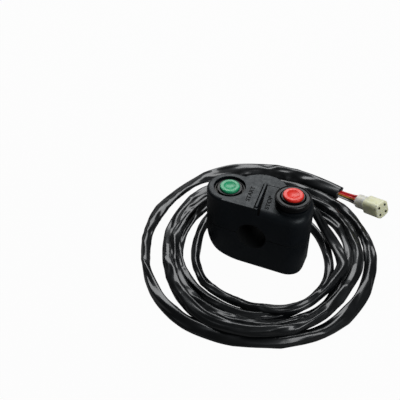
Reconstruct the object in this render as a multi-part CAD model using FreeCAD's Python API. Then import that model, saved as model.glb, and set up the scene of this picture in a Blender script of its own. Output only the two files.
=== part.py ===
import FreeCAD
import Part
import math
import os

from FreeCAD import Vector

# A handlebar start and stop switch. The origin is the centre of the handlebar bore, +X runs from the start
# button to the stop button, +Y runs along the handlebar away from the rider's side, and +Z is up.
# All sizes are in millimetres.

# Handlebar clamp
BAR_RADIUS = 11.1
BORE_WALL = 2.3

# Housing outline, seen from above
HOUSING_DEPTH = 34.0
WALL = 2.4
START_SETBACK = 13.1
STOP_SETBACK = 12.8
STOP_END_LENGTH = 14.9
STOP_CORNER_RADIUS = 12.8
LOBE_RADIUS = 21.3
LOBE_X = -0.7
LOBE_Y = 2.7
LOBE_EDGE_ROUND = 1.0

# Housing heights, counted from the parting plane at the bore's centre
TOP_Z = 27.4
FLOOR_Z = -29.0
CEILING_Z = 20.0
PANEL_DROP = 3.2
START_EDGE_ROUND = 2.6
STOP_EDGE_ROUND = 5.5
PANEL_EDGE_ROUND = 0.5
PARTING_BEVEL = 0.3
KEEL_ROUND = 3.0
HEEL_LENGTH = 33.2
HEEL_RISE = 28.0

# Divider bar between the two label panels
DIVIDER_ANGLE = 4.5
DIVIDER_X = 0.6
DIVIDER_WIDTH = 2.2
DIVIDER_RISE = 0.9
DIVIDER_FRONT = 15.2
DIVIDER_BACK = 12.5
GROOVE_WIDTH = 0.7
GROOVE_DEPTH = 0.9

# Recess of the start button and tower of the stop button
RECESS_RADIUS = 12.0
RECESS_FLOOR_Z = 22.4
TOWER_RADIUS = 12.6
TOWER_TOP_Z = 27.2

# Push buttons
CAP_RADIUS = 7.45
CAP_EDGE_ROUND = 1.0
DISH_RADIUS = 4.7
DISH_DEPTH = 1.0
START_CAP_TOP_Z = 28.2
STOP_CAP_TOP_Z = 35.6
BUTTON_TRAVEL = 2.5
BUTTON_FLANGE_RADIUS = 8.1
BUTTON_FLANGE_HEIGHT = 1.6
STEM_RADIUS = 1.6
STEM_TIP_RADIUS = 1.2
STEM_HEAD_RADIUS = 1.9
STEM_HEAD_HEIGHT = 0.5
RUNNING_CLEARANCE = 0.06
STOP_GAP = 0.1

# Guide bushes of the buttons
GUIDE_SKIRT_INNER = 8.3
GUIDE_OUTER = 9.0
START_GUIDE_TOP_Z = 26.5
START_SHOULDER_Z = 23.4
START_GUIDE_FLANGE_RADIUS = 11.4
START_GUIDE_FLANGE_HEIGHT = 1.6
STOP_GUIDE_TOP_Z = 33.9
STOP_SHOULDER_Z = 24.0
STOP_GUIDE_LIP = 8.3

# Seal ring in the recess
SEAL_HEIGHT = 0.8
SEAL_LIP_INNER = 10.4
SEAL_LIP_OUTER = 11.3
SEAL_LIP_TOP_Z = 25.2
SEAL_CLEARANCE = 0.1

# Tether collar
COLLAR_RADIUS = 13.05
COLLAR_TOP_Z = 33.3
COLLAR_FLANGE_HEIGHT = 4.9
COLLAR_SIDE_GROOVE_TOP = 2.5
COLLAR_SIDE_GROOVE = 0.7
COLLAR_LOWER_STEP = 0.3
COLLAR_NECK_RADIUS = 10.4
COLLAR_BORE_RADIUS = 9.5
COLLAR_FOOT_RADIUS = 11.7
COLLAR_FOOT_HEIGHT = 1.4
COLLAR_FOOT_Z = 13.2
COLLAR_LIP = 0.7
COLLAR_GROOVE = 0.6
COLLAR_EDGE = 0.5

# Switch bases and contacts
BASE_TOP_Z = 13.6
BASE_PLATE_HEIGHT = 1.4
BASE_STEP_HEIGHT = 1.4
BASE_PLATE_RADIUS = 11.6
EAR_OFFSET_X = 10.7
EAR_SETBACK = 3.6
EAR_RADIUS = 2.4
BASE_BOSS_RADIUS = 2.2
BASE_SCREW_RADIUS = 1.0
BASE_SCREW_HEAD_RADIUS = 2.1
BASE_SCREW_HEAD_HEIGHT = 1.3
BASE_SCREW_BITE = 6.0
CONTACT_OFFSET = 3.3
RIVET_RADIUS = 1.1
RIVET_HEIGHT = 0.6
TAIL_RADIUS = 0.7
TAIL_LENGTH = 4.4
BRIDGE_LENGTH = 9.2
BRIDGE_WIDTH = 3.2
BRIDGE_THICKNESS = 0.6
CONTACT_GAP = 0.05

# Springs
SPRING_WIRE_RADIUS = 0.4
BUTTON_SPRING_RADIUS = 6.2
COLLAR_SPRING_RADIUS = 10.95
SPRING_TURNS = 4
COLLAR_SPRING_TURNS = 3

# Clamp screws and their inserts
CLAMP_SCREW_SETBACK = 7.1
CLAMP_SCREW_RADIUS = 2.45
CLAMP_SCREW_HOLE = 2.75
CLAMP_HEAD_RADIUS = 4.3
CLAMP_HEAD_HEIGHT = 3.0
CLAMP_SOCKET_RADIUS = 2.0
CLAMP_SOCKET_DEPTH = 1.8
CLAMP_SEAT_Z = -14.0
CLAMP_SCREW_LENGTH = 22.5
COUNTERBORE_RADIUS = 4.7
CLAMP_BOSS_WALL = 1.7
INSERT_RADIUS = 3.2
INSERT_HEIGHT = 8.8
INSERT_SETBACK = 0.6
UPPER_BOSS_TOP_Z = 10.2

# Cable grommet in the back wall, on the parting plane
GROMMET_SETBACK = 9.8
GROMMET_HOLE_RADIUS = 4.6
GROMMET_FLANGE_RADIUS = 5.7
GROMMET_FLANGE = 1.4
GROMMET_NOSE_LENGTH = 8.0
GROMMET_BORE_RADIUS = 2.7

# Internal leads
LEAD_RADIUS = 0.8
LEAD_SPREAD = 0.9
LEAD_DROP = 2.2

# Harness sleeve
SLEEVE_RADIUS = 5.5
COIL_HEIGHT = 14.0
COIL_EDGE_ROUND = 4.0
COIL_LEFT_GAP = 2.3
COIL_RIGHT_GAP = 17.7
COIL_FRONT_GAP = 41.0
COIL_BACK_GAP = 12.0
COIL_REACH = 92.0

# Connector
WIRE_RADIUS = 1.15
CONNECTOR_X = 61.7
CONNECTOR_Y = 81.9
CONNECTOR_LIFT = 5.7
CONNECTOR_HEADING = -32.0
CONNECTOR_PITCH = 18.0
CONNECTOR_ROLL = 7.0
CONNECTOR_WIDTH = 13.0
CONNECTOR_CORNER = 3.8
CONNECTOR_END_ROUND = 0.7
CONNECTOR_LENGTH = 15.5
RETAINER_RADIUS = 5.8
RETAINER_LENGTH = 10.0
RETAINER_SPIGOT = 2.0
PIN_CIRCLE_RADIUS = 4.5
WIRE_CIRCLE_RADIUS = 3.2
WIRE_BUNDLE_RADIUS = 2.4
WIRE_RUN_OUT = 7.0
WIRE_RUN_IN = 5.2
PIN_HOLE_RADIUS = 1.0
PIN_RADIUS = 0.7
PIN_SETBACK = 3.0
TERMINAL_DEPTH = 7.0
LATCH_WIDTH = 5.0
LATCH_HEIGHT = 1.0
LATCH_LENGTH = 6.0

# Values worked out from the sizes above
START_X = -BAR_RADIUS - START_SETBACK
STOP_X = BAR_RADIUS + STOP_SETBACK
CLAMP_SCREW_X = BAR_RADIUS + CLAMP_SCREW_SETBACK
GROMMET_X = BAR_RADIUS + GROMMET_SETBACK
HALF_DEPTH = HOUSING_DEPTH / 2.0
STOP_END_X = STOP_X + STOP_END_LENGTH
EAR_OFFSET_Y = HALF_DEPTH - WALL - EAR_SETBACK
BORE_OUTER = BAR_RADIUS + BORE_WALL
BASE_STEP_Z = BASE_TOP_Z - BASE_STEP_HEIGHT
BASE_BOTTOM_Z = BASE_STEP_Z - BASE_PLATE_HEIGHT
RIVET_TOP_Z = BASE_TOP_Z + RIVET_HEIGHT
TAIL_END_Z = BASE_BOTTOM_Z - TAIL_LENGTH
BRIDGE_Z = RIVET_TOP_Z + BUTTON_TRAVEL + CONTACT_GAP
COLLAR_FLANGE_Z = COLLAR_TOP_Z - COLLAR_FLANGE_HEIGHT
GROMMET_END_Y = HALF_DEPTH + GROMMET_NOSE_LENGTH
INNER_WALL_Y = HALF_DEPTH - WALL
SLEEVE_Z = FLOOR_Z + SLEEVE_RADIUS
CLAMP_SIDES = (-1, 1)
Z_AXIS = Vector(0, 0, 1)
Y_AXIS = Vector(0, 1, 0)
X_AXIS = Vector(1, 0, 0)


def cylinder(radius, low_z, high_z, x=0.0, y=0.0):
    return Part.makeCylinder(radius, high_z - low_z, Vector(x, y, low_z), Z_AXIS)


def tube(outer, inner, low_z, high_z, x=0.0, y=0.0):
    return cylinder(outer, low_z, high_z, x, y).cut(cylinder(inner, low_z, high_z, x, y))


def box(low, high):
    return Part.makeBox(high[0] - low[0], high[1] - low[1], high[2] - low[2], Vector(*low))


def turned(profile, x=0.0):
    """A solid of revolution about the vertical axis at x, from (radius, height) points."""
    points = [Vector(x + radius, 0, height) for radius, height in profile]
    wire = Part.makePolygon(points + [points[0]])
    return Part.Face(wire).revolve(Vector(x, 0, 0), Z_AXIS, 360)


def line(start, end):
    return Part.LineSegment(start, end).toShape()


def arc(start, middle, end):
    return Part.Arc(start, middle, end).toShape()


def stretched(edge, x_scale, y_scale, z_scale):
    """An edge drawn about the origin at radius 1, stretched along each axis."""
    matrix = FreeCAD.Matrix()
    matrix.scale(x_scale, y_scale, z_scale)
    return edge.transformGeometry(matrix)


def rounded_route(points, label):
    """Straight runs joined by tangent arcs, each as large as its two runs allow."""
    edges = []
    radii = []
    start = points[0]
    for before, corner, after in zip(points, points[1:], points[2:]):
        back = before - corner
        ahead = after - corner
        turn = math.pi - back.getAngle(ahead)
        reach = 0.45 * min(back.Length, ahead.Length)
        radii.append(reach / math.tan(turn / 2.0))
        into = corner + back.normalize() * reach
        out = corner + ahead.normalize() * reach
        centre_way = (back + ahead).normalize()
        middle = corner + centre_way * (radii[-1] / math.cos(turn / 2.0) - radii[-1])
        edges.append(line(start, into))
        edges.append(arc(into, middle, out))
        start = out
    edges.append(line(start, points[-1]))
    print(label, "radii", [round(radius, 1) for radius in radii])
    return Part.Wire(edges)


def cord(points, radius, label):
    """A round cord along a route."""
    path = rounded_route(points, label)
    ring = Part.Wire([Part.Circle(points[0], points[1] - points[0], radius).toShape()])
    solid = path.makePipeShell([ring], True, False)
    wanted = math.pi * radius ** 2 * path.Length
    print(label, "length", round(path.Length, 1), "volume ratio", round(solid.Volume / wanted, 4))
    return solid


def coil_spring(x, low_z, high_z, radius, turns):
    """A compression spring standing between two faces, its turns drawn as tilted half circles."""
    height = high_z - low_z - 2 * SPRING_WIRE_RADIUS
    rise = height / turns / 2.0
    halves = []
    for index in range(2 * turns):
        side = 1 if index % 2 == 0 else -1
        start_z = index * rise
        halves.append(arc(Vector(side * radius, 0, start_z), Vector(0, side * radius, start_z + rise / 2.0),
                          Vector(-side * radius, 0, start_z + rise)))
    ring = Part.Wire([Part.Circle(Vector(radius, 0, 0), Y_AXIS, SPRING_WIRE_RADIUS).toShape()])
    spring = Part.Wire(halves).makePipeShell([ring], True, False)
    spring.translate(Vector(x, 0, low_z + SPRING_WIRE_RADIUS))
    return spring


def side_of(x):
    return 1 if x > 0 else -1


# Housing

def outline(inset, height, low_z):
    """The housing's plan, a stadium with a squarer stop end, raised to a prism."""
    half = HALF_DEPTH - inset
    corner = STOP_CORNER_RADIUS - inset
    corner_x = STOP_END_X - STOP_CORNER_RADIUS
    corner_y = HALF_DEPTH - STOP_CORNER_RADIUS
    end_x = STOP_END_X - inset
    diagonal = corner * math.sqrt(0.5)
    edges = [
        arc(Vector(START_X, half, 0), Vector(START_X - half, 0, 0), Vector(START_X, -half, 0)),
        line(Vector(START_X, -half, 0), Vector(corner_x, -half, 0)),
        arc(Vector(corner_x, -half, 0), Vector(corner_x + diagonal, -corner_y - diagonal, 0),
            Vector(end_x, -corner_y, 0)),
        line(Vector(end_x, -corner_y, 0), Vector(end_x, corner_y, 0)),
        arc(Vector(end_x, corner_y, 0), Vector(corner_x + diagonal, corner_y + diagonal, 0),
            Vector(corner_x, half, 0)),
        line(Vector(corner_x, half, 0), Vector(START_X, half, 0)),
    ]
    prism = Part.Face(Part.Wire(edges)).extrude(Vector(0, 0, height))
    prism.translate(Vector(0, 0, low_z))
    return prism


def lobe(inset, low_z, high_z):
    """The round bulge of the back wall behind the handlebar."""
    disc = cylinder(LOBE_RADIUS - inset, low_z, high_z, LOBE_X, LOBE_Y)
    if high_z > CEILING_Z:
        disc = disc.makeFillet(LOBE_EDGE_ROUND, top_edges(disc, high_z - 0.01))
    keep = box((-2 * LOBE_RADIUS, DIVIDER_BACK, low_z), (2 * LOBE_RADIUS, 2 * LOBE_RADIUS, high_z))
    return disc.common(keep)


def top_edges(solid, low_z):
    """The outer edges around the top face."""
    return [edge for edge in solid.Edges if edge.BoundBox.ZMin > low_z]


def divider_block(near_x, far_x, front_y, back_y, low_z, high_z):
    """A block aligned with the slanted divider; its x values are counted from the divider's right side."""
    block = box((near_x, front_y, low_z), (far_x, back_y, high_z))
    block.rotate(Vector(0, 0, 0), Z_AXIS, DIVIDER_ANGLE)
    block.translate(Vector(DIVIDER_X + DIVIDER_WIDTH / 2.0, 0, 0))
    return block


def start_side():
    """The start half of the upper shell, with a sharp edge along the front of its label panel."""
    block = outline(0, TOP_Z, 0)
    block = block.makeFillet(START_EDGE_ROUND, top_edges(block, TOP_Z - 0.01))
    crest = box((START_X, -HALF_DEPTH, CEILING_Z), (DIVIDER_WIDTH + 2, 0, TOP_Z))
    front_edge = [edge for edge in top_edges(crest, TOP_Z - 0.01) if edge.BoundBox.YMax < 0.01 - HALF_DEPTH]
    block = block.fuse(crest.makeFillet(PANEL_EDGE_ROUND, front_edge))
    beyond = divider_block(0, 4 * HOUSING_DEPTH, -2 * HOUSING_DEPTH, 2 * HOUSING_DEPTH, -1, TOP_Z + 1)
    return block.cut(beyond)


def stop_side():
    """The stop half of the upper shell: its panel falls towards the front and its edges are well rounded."""
    front_z = TOP_Z - PANEL_DROP
    back_z = TOP_Z + PANEL_DROP * (HALF_DEPTH - DIVIDER_BACK) / (HALF_DEPTH + DIVIDER_BACK)
    slope = [Vector(0, HALF_DEPTH, back_z), Vector(0, -HALF_DEPTH, front_z), Vector(0, -HALF_DEPTH, 2 * back_z),
             Vector(0, HALF_DEPTH, 2 * back_z), Vector(0, HALF_DEPTH, back_z)]
    wedge = Part.Face(Part.makePolygon(slope)).extrude(Vector(6 * HOUSING_DEPTH, 0, 0))
    wedge.translate(Vector(-3 * HOUSING_DEPTH, 0, 0))
    sloped = outline(0, back_z, 0).cut(wedge)
    sloped = sloped.makeFillet(STOP_EDGE_ROUND, top_edges(sloped, front_z - 0.01))
    level = outline(0, TOP_Z, 0)
    level = level.makeFillet(STOP_EDGE_ROUND, top_edges(level, TOP_Z - 0.01))
    block = sloped.common(level)
    before = divider_block(-4 * HOUSING_DEPTH, -DIVIDER_WIDTH / 2.0, -2 * HOUSING_DEPTH, 2 * HOUSING_DEPTH,
                           -1, TOP_Z + 1)
    return block.cut(before)


def divider():
    """The raised bar between the panels, with a round back end and a groove along its left side."""
    length_z = TOP_Z + DIVIDER_RISE
    bar = divider_block(-DIVIDER_WIDTH, 0, -DIVIDER_FRONT, DIVIDER_BACK, CEILING_Z, length_z)
    tip = cylinder(DIVIDER_WIDTH / 2.0, CEILING_Z, length_z, -DIVIDER_WIDTH / 2.0, DIVIDER_BACK)
    tip.rotate(Vector(0, 0, 0), Z_AXIS, DIVIDER_ANGLE)
    tip.translate(Vector(DIVIDER_X + DIVIDER_WIDTH / 2.0, 0, 0))
    bar = bar.fuse(tip).removeSplitter()
    return bar.makeFillet(DIVIDER_WIDTH * 0.3, top_edges(bar, length_z - 0.01))


def bore_wall(radius, low_z, high_z):
    """A length of cylinder along the handlebar, limited to one half of the clamp."""
    length = 4 * HOUSING_DEPTH
    rod = Part.makeCylinder(radius, length, Vector(0, -length / 2.0, 0), Y_AXIS)
    keep = box((-2 * radius, -length / 2.0, low_z), (2 * radius, length / 2.0, high_z))
    return rod.common(keep)


def ear_places(x):
    inner_x = x - side_of(x) * EAR_OFFSET_X
    return [(inner_x, -EAR_OFFSET_Y), (inner_x, EAR_OFFSET_Y)]


def upper_housing():
    shell = start_side().fuse([stop_side(), lobe(0, 0, TOP_Z), divider(),
                               cylinder(TOWER_RADIUS, CEILING_Z, TOWER_TOP_Z, STOP_X)]).removeSplitter()
    shell = shell.makeChamfer(PARTING_BEVEL, [edge for edge in shell.Edges if edge.BoundBox.ZMax < 0.01])
    groove = divider_block(-DIVIDER_WIDTH - GROOVE_WIDTH, -DIVIDER_WIDTH, -HOUSING_DEPTH, DIVIDER_BACK,
                           TOP_Z - GROOVE_DEPTH, TOP_Z + DIVIDER_RISE)
    shell = shell.cut(groove)
    cavity = outline(WALL, CEILING_Z, 0).fuse(lobe(WALL, 0, CEILING_Z))
    keepers = [bore_wall(BORE_OUTER, -1, HOUSING_DEPTH)]
    for side in CLAMP_SIDES:
        keepers.append(cylinder(INSERT_RADIUS + CLAMP_BOSS_WALL, 0, UPPER_BOSS_TOP_Z, side * CLAMP_SCREW_X))
    for x in (START_X, STOP_X):
        for ear_x, ear_y in ear_places(x):
            keepers.append(cylinder(BASE_BOSS_RADIUS, BASE_STEP_Z, CEILING_Z, ear_x, ear_y))
    cavity = cavity.cut(keepers)
    removed = [
        cavity,
        bore_wall(BAR_RADIUS, -1, HOUSING_DEPTH),
        cylinder(RECESS_RADIUS, RECESS_FLOOR_Z, 2 * TOP_Z, START_X),
        cylinder(GUIDE_OUTER + RUNNING_CLEARANCE, 0, RECESS_FLOOR_Z, START_X).common(
            box((START_X - HOUSING_DEPTH, -HOUSING_DEPTH, CEILING_Z - 1),
                (START_X + HOUSING_DEPTH, HOUSING_DEPTH, RECESS_FLOOR_Z))),
        cylinder(COLLAR_NECK_RADIUS + RUNNING_CLEARANCE, CEILING_Z - 1, 2 * TOP_Z, STOP_X),
        Part.makeCylinder(GROMMET_HOLE_RADIUS, 3 * WALL, Vector(GROMMET_X, HALF_DEPTH - 2 * WALL, 0), Y_AXIS),
        Part.makeCylinder(GROMMET_FLANGE_RADIUS + RUNNING_CLEARANCE, 2 * GROMMET_NOSE_LENGTH,
                          Vector(GROMMET_X, HALF_DEPTH, 0), Y_AXIS),
    ]
    for side in CLAMP_SIDES:
        removed.append(cylinder(INSERT_RADIUS, INSERT_SETBACK, INSERT_SETBACK + INSERT_HEIGHT,
                                side * CLAMP_SCREW_X))
        removed.append(cylinder(CLAMP_SCREW_HOLE, -1, INSERT_SETBACK, side * CLAMP_SCREW_X))
    for x in (START_X, STOP_X):
        for ear_x, ear_y in ear_places(x):
            removed.append(cylinder(BASE_SCREW_RADIUS, BASE_STEP_Z - 1, BASE_STEP_Z + BASE_SCREW_BITE,
                                    ear_x, ear_y))
    return shell.cut(removed).removeSplitter()


def keel_profile(inset):
    """The lower shell seen from the front, with its long rounded heel under the start button."""
    centre = Vector(START_X - HALF_DEPTH + HEEL_LENGTH, 0, FLOOR_Z + HEEL_RISE)
    long_axis = HEEL_LENGTH - inset
    short_axis = HEEL_RISE - inset
    bottom = FLOOR_Z + inset
    right = STOP_END_X - inset
    radius = max(KEEL_ROUND - inset, 0.5)
    quarter = arc(-X_AXIS, Vector(-math.sqrt(0.5), 0, -math.sqrt(0.5)), -Z_AXIS)
    heel = stretched(quarter, long_axis, 1, short_axis)
    heel.translate(centre)
    left_point = centre - X_AXIS * long_axis
    low_point = centre - Z_AXIS * short_axis
    diagonal = radius * (1 - math.sqrt(0.5))
    edges = [
        heel,
        line(low_point, Vector(right - radius, 0, bottom)),
        arc(Vector(right - radius, 0, bottom), Vector(right - diagonal, 0, bottom + diagonal),
            Vector(right, 0, bottom + radius)),
        line(Vector(right, 0, bottom + radius), Vector(right, 0, 0)),
        line(Vector(right, 0, 0), Vector(left_point.x, 0, 0)),
        line(Vector(left_point.x, 0, 0), left_point),
    ]
    prism = Part.Face(Part.Wire(edges)).extrude(Vector(0, 4 * HOUSING_DEPTH, 0))
    prism.translate(Vector(0, -2 * HOUSING_DEPTH, 0))
    return prism


def lower_housing():
    depth = -FLOOR_Z
    shell = outline(0, depth, FLOOR_Z).fuse(lobe(0, FLOOR_Z, 0)).removeSplitter().common(keel_profile(0))
    shell = shell.makeChamfer(PARTING_BEVEL, top_edges(shell, -0.01))
    cavity = outline(WALL, depth, FLOOR_Z).fuse(lobe(WALL, FLOOR_Z, 0)).common(keel_profile(WALL))
    keepers = [bore_wall(BORE_OUTER, -HOUSING_DEPTH, 1)]
    for side in CLAMP_SIDES:
        keepers.append(cylinder(COUNTERBORE_RADIUS + CLAMP_BOSS_WALL, FLOOR_Z, 0, side * CLAMP_SCREW_X))
    cavity = cavity.cut(keepers)
    removed = [
        cavity,
        bore_wall(BAR_RADIUS, -HOUSING_DEPTH, 1),
        Part.makeCylinder(GROMMET_HOLE_RADIUS, 3 * WALL, Vector(GROMMET_X, HALF_DEPTH - 2 * WALL, 0), Y_AXIS),
        Part.makeCylinder(GROMMET_FLANGE_RADIUS + RUNNING_CLEARANCE, 2 * GROMMET_NOSE_LENGTH,
                          Vector(GROMMET_X, HALF_DEPTH, 0), Y_AXIS),
    ]
    for side in CLAMP_SIDES:
        removed.append(cylinder(COUNTERBORE_RADIUS, FLOOR_Z - 1, CLAMP_SEAT_Z, side * CLAMP_SCREW_X))
        removed.append(cylinder(CLAMP_SCREW_HOLE, FLOOR_Z, 1, side * CLAMP_SCREW_X))
    return shell.cut(removed).removeSplitter()


# Fasteners

def clamp_screw(x):
    head = cylinder(CLAMP_HEAD_RADIUS, CLAMP_SEAT_Z - CLAMP_HEAD_HEIGHT, CLAMP_SEAT_Z, x)
    low_z = CLAMP_SEAT_Z - CLAMP_HEAD_HEIGHT
    socket = cylinder(CLAMP_SOCKET_RADIUS, low_z, low_z + CLAMP_SOCKET_DEPTH, x)
    shank = cylinder(CLAMP_SCREW_RADIUS, CLAMP_SEAT_Z, CLAMP_SEAT_Z + CLAMP_SCREW_LENGTH, x)
    return head.fuse(shank).cut(socket)


def clamp_screws():
    return Part.makeCompound([clamp_screw(side * CLAMP_SCREW_X) for side in CLAMP_SIDES])


def screw_inserts():
    high_z = INSERT_SETBACK + INSERT_HEIGHT
    return Part.makeCompound([tube(INSERT_RADIUS, CLAMP_SCREW_RADIUS, INSERT_SETBACK, high_z,
                                   side * CLAMP_SCREW_X) for side in CLAMP_SIDES])


def base_screws(x):
    screws = []
    for ear_x, ear_y in ear_places(x):
        head = cylinder(BASE_SCREW_HEAD_RADIUS, BASE_BOTTOM_Z - BASE_SCREW_HEAD_HEIGHT, BASE_BOTTOM_Z,
                        ear_x, ear_y)
        shank = cylinder(BASE_SCREW_RADIUS, BASE_BOTTOM_Z, BASE_STEP_Z + BASE_SCREW_BITE - 0.5, ear_x, ear_y)
        screws.append(head.fuse(shank))
    return screws


# Buttons, guides and the collar

def dished_cap(x, low_z, high_z):
    cap = cylinder(CAP_RADIUS, low_z, high_z, x)
    cap = cap.makeFillet(CAP_EDGE_ROUND, top_edges(cap, high_z - 0.01))
    ball_radius = (DISH_RADIUS ** 2 + DISH_DEPTH ** 2) / (2 * DISH_DEPTH)
    ball = Part.makeSphere(ball_radius, Vector(x, 0, high_z - DISH_DEPTH + ball_radius))
    return cap.cut(ball)


def button(x, cap_top_z, shoulder_z):
    """A push button: cap, retaining flange and the stem that carries the contact bridge."""
    flange_top = shoulder_z - STOP_GAP
    flange_low = flange_top - BUTTON_FLANGE_HEIGHT
    bridge_top = BRIDGE_Z + BRIDGE_THICKNESS
    cap = dished_cap(x, flange_low, cap_top_z)
    flange = cylinder(BUTTON_FLANGE_RADIUS, flange_low, flange_top, x)
    stem = cylinder(STEM_RADIUS, bridge_top, flange_low, x)
    tip = cylinder(STEM_TIP_RADIUS, BRIDGE_Z - STEM_HEAD_HEIGHT, bridge_top, x)
    head = cylinder(STEM_HEAD_RADIUS, BRIDGE_Z - STEM_HEAD_HEIGHT, BRIDGE_Z, x)
    return cap.fuse([flange, stem, tip, head]).removeSplitter()


def contact_bridge(x):
    """The brass strip that joins the two fixed contacts when the button is pressed."""
    strip = box((x - BRIDGE_WIDTH / 2.0, -BRIDGE_LENGTH / 2.0, BRIDGE_Z),
                (x + BRIDGE_WIDTH / 2.0, BRIDGE_LENGTH / 2.0, BRIDGE_Z + BRIDGE_THICKNESS))
    return strip.cut(cylinder(STEM_TIP_RADIUS, BRIDGE_Z - 1, BRIDGE_Z + 2, x))


def fixed_contacts(x):
    contacts = []
    for side in (-1, 1):
        rivet = cylinder(RIVET_RADIUS, BASE_TOP_Z, RIVET_TOP_Z, x, side * CONTACT_OFFSET)
        tail = cylinder(TAIL_RADIUS, TAIL_END_Z, BASE_TOP_Z, x, side * CONTACT_OFFSET)
        contacts.append(rivet.fuse(tail))
    return Part.makeCompound(contacts)


def switch_base(x):
    """The moulded base that carries the fixed contacts and is screwed up into the housing."""
    plate = cylinder(BASE_PLATE_RADIUS, BASE_BOTTOM_Z, BASE_STEP_Z, x)
    step = cylinder(GUIDE_OUTER, BASE_STEP_Z, BASE_TOP_Z, x)
    parts = [step]
    for ear_x, ear_y in ear_places(x):
        parts.append(cylinder(EAR_RADIUS, BASE_BOTTOM_Z, BASE_STEP_Z, ear_x, ear_y))
        reach = math.hypot(ear_x - x, ear_y)
        arm = box((0, -EAR_RADIUS, BASE_BOTTOM_Z), (reach, EAR_RADIUS, BASE_STEP_Z))
        arm.rotate(Vector(0, 0, 0), Z_AXIS, math.degrees(math.atan2(ear_y, ear_x - x)))
        arm.translate(Vector(x, 0, 0))
        parts.append(arm)
    base = plate.fuse(parts)
    holes = [cylinder(TAIL_RADIUS, TAIL_END_Z, BASE_TOP_Z + 1, x, side * CONTACT_OFFSET) for side in (-1, 1)]
    for ear_x, ear_y in ear_places(x):
        holes.append(cylinder(BASE_SCREW_RADIUS, BASE_BOTTOM_Z - 1, BASE_STEP_Z + 1, ear_x, ear_y))
    return base.cut(holes).removeSplitter()


def start_guide():
    """The bush around the start button: a long skirt, a lip that stops the button, and a seating flange."""
    bore = CAP_RADIUS + RUNNING_CLEARANCE
    flange_low = CEILING_Z - START_GUIDE_FLANGE_HEIGHT
    profile = [(GUIDE_SKIRT_INNER, BASE_TOP_Z), (GUIDE_OUTER, BASE_TOP_Z), (GUIDE_OUTER, flange_low),
               (START_GUIDE_FLANGE_RADIUS, flange_low), (START_GUIDE_FLANGE_RADIUS, CEILING_Z),
               (GUIDE_OUTER, CEILING_Z), (GUIDE_OUTER, START_GUIDE_TOP_Z), (bore, START_GUIDE_TOP_Z),
               (bore, START_SHOULDER_Z), (GUIDE_SKIRT_INNER, START_SHOULDER_Z)]
    return turned(profile, START_X)


def stop_guide():
    """The bush around the stop button, slim enough above its shoulder to leave a gap inside the collar."""
    bore = CAP_RADIUS + RUNNING_CLEARANCE
    outer_step = STOP_SHOULDER_Z + 1.2
    profile = [(GUIDE_SKIRT_INNER, BASE_TOP_Z), (GUIDE_OUTER, BASE_TOP_Z), (GUIDE_OUTER, outer_step),
               (STOP_GUIDE_LIP, outer_step), (STOP_GUIDE_LIP, STOP_GUIDE_TOP_Z), (bore, STOP_GUIDE_TOP_Z),
               (bore, STOP_SHOULDER_Z), (GUIDE_SKIRT_INNER, STOP_SHOULDER_Z)]
    return turned(profile, STOP_X)


def start_seal():
    """The rubber ring on the floor of the recess, with its upstanding lip."""
    inner = GUIDE_OUTER + SEAL_CLEARANCE
    outer = RECESS_RADIUS - SEAL_CLEARANCE
    high_z = RECESS_FLOOR_Z + SEAL_HEIGHT
    profile = [(inner, RECESS_FLOOR_Z), (outer, RECESS_FLOOR_Z), (outer, high_z), (SEAL_LIP_OUTER, high_z),
               (SEAL_LIP_OUTER, SEAL_LIP_TOP_Z), (SEAL_LIP_INNER, SEAL_LIP_TOP_Z), (SEAL_LIP_INNER, high_z),
               (inner, high_z)]
    return turned(profile, START_X)


def tether_collar():
    """The flanged ring that a tether clip lifts: flange, neck in the tower's bore and a foot for its spring."""
    lip_inner = COLLAR_RADIUS - COLLAR_EDGE - COLLAR_LIP
    ring_outer = lip_inner - COLLAR_GROOVE
    ring_top = COLLAR_TOP_Z - COLLAR_EDGE / 2.0
    groove_top = COLLAR_TOP_Z - COLLAR_SIDE_GROOVE_TOP
    groove_low = groove_top - COLLAR_SIDE_GROOVE
    lower_radius = COLLAR_RADIUS - COLLAR_LOWER_STEP
    foot_top = COLLAR_FOOT_Z + COLLAR_FOOT_HEIGHT
    profile = [(COLLAR_BORE_RADIUS, COLLAR_FOOT_Z), (COLLAR_FOOT_RADIUS, COLLAR_FOOT_Z),
               (COLLAR_FOOT_RADIUS, foot_top), (COLLAR_NECK_RADIUS, foot_top),
               (COLLAR_NECK_RADIUS, COLLAR_FLANGE_Z), (lower_radius - COLLAR_EDGE, COLLAR_FLANGE_Z),
               (lower_radius, COLLAR_FLANGE_Z + COLLAR_EDGE), (lower_radius, groove_low),
               (lower_radius - COLLAR_SIDE_GROOVE, groove_low), (lower_radius - COLLAR_SIDE_GROOVE, groove_top),
               (COLLAR_RADIUS, groove_top), (COLLAR_RADIUS, COLLAR_TOP_Z - COLLAR_EDGE),
               (COLLAR_RADIUS - COLLAR_EDGE, COLLAR_TOP_Z), (lip_inner, COLLAR_TOP_Z),
               (lip_inner, COLLAR_TOP_Z - COLLAR_GROOVE), (ring_outer, COLLAR_TOP_Z - COLLAR_GROOVE),
               (ring_outer, ring_top), (COLLAR_BORE_RADIUS, ring_top)]
    return turned(profile, STOP_X)


# Grommet and internal leads

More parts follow.
